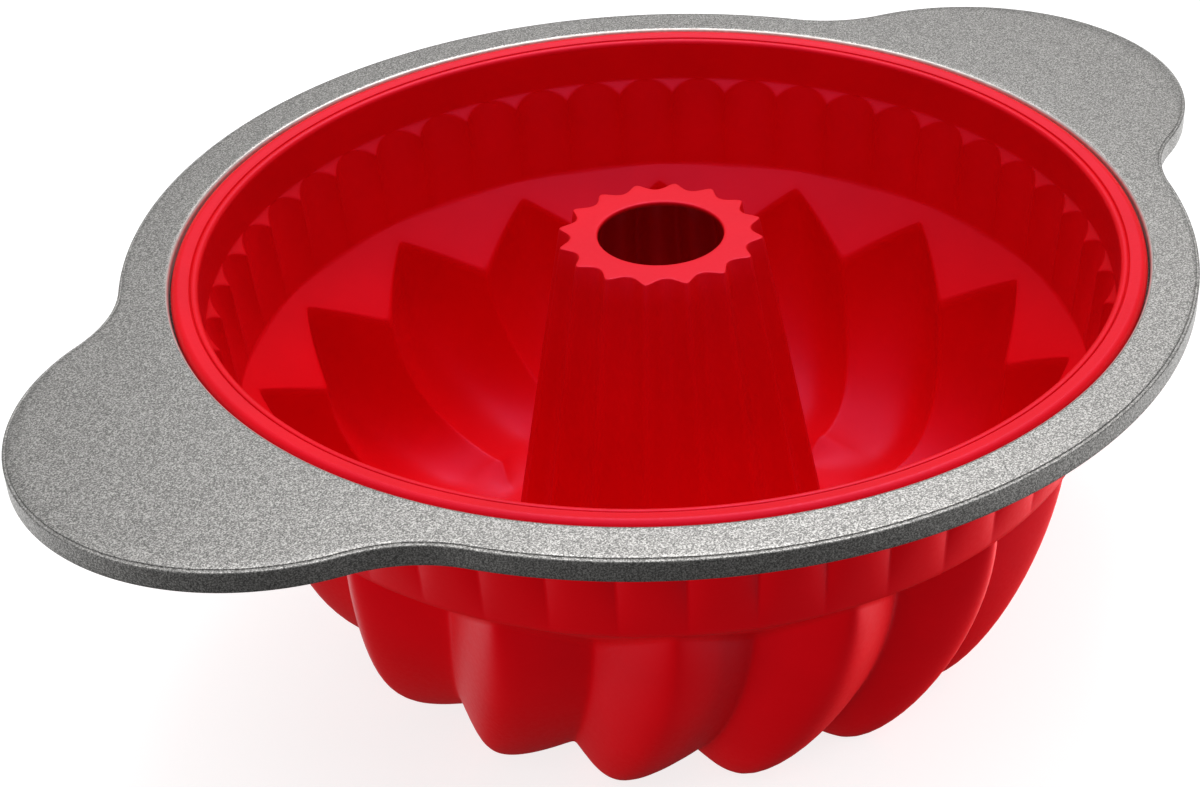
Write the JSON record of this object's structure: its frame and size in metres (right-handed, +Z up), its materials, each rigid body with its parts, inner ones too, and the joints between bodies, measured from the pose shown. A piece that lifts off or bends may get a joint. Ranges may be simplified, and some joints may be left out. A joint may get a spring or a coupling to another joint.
{
  "type": "bundt pan",
  "caption": "Round fluted silicone cake mould with a hollow centre tube, held in a flat pressed-steel frame with two opposite handles.",
  "frame": {"origin": "centre of the mould, on the plane it stands on", "axes": "+Z up along the centre tube, +X towards one handle, +Y across the handles"},
  "size_m": [0.3276, 0.2524, 0.104],
  "materials": {
    "coated_steel": "speckled grey non-stick coating on pressed sheet steel, satin",
    "silicone": "deep red food-grade silicone, soft satin"
  },
  "bodies": {
    "root": {"handle_frame": "coated_steel", "silicone_mould": "silicone"}
  },
  "joints": []
}
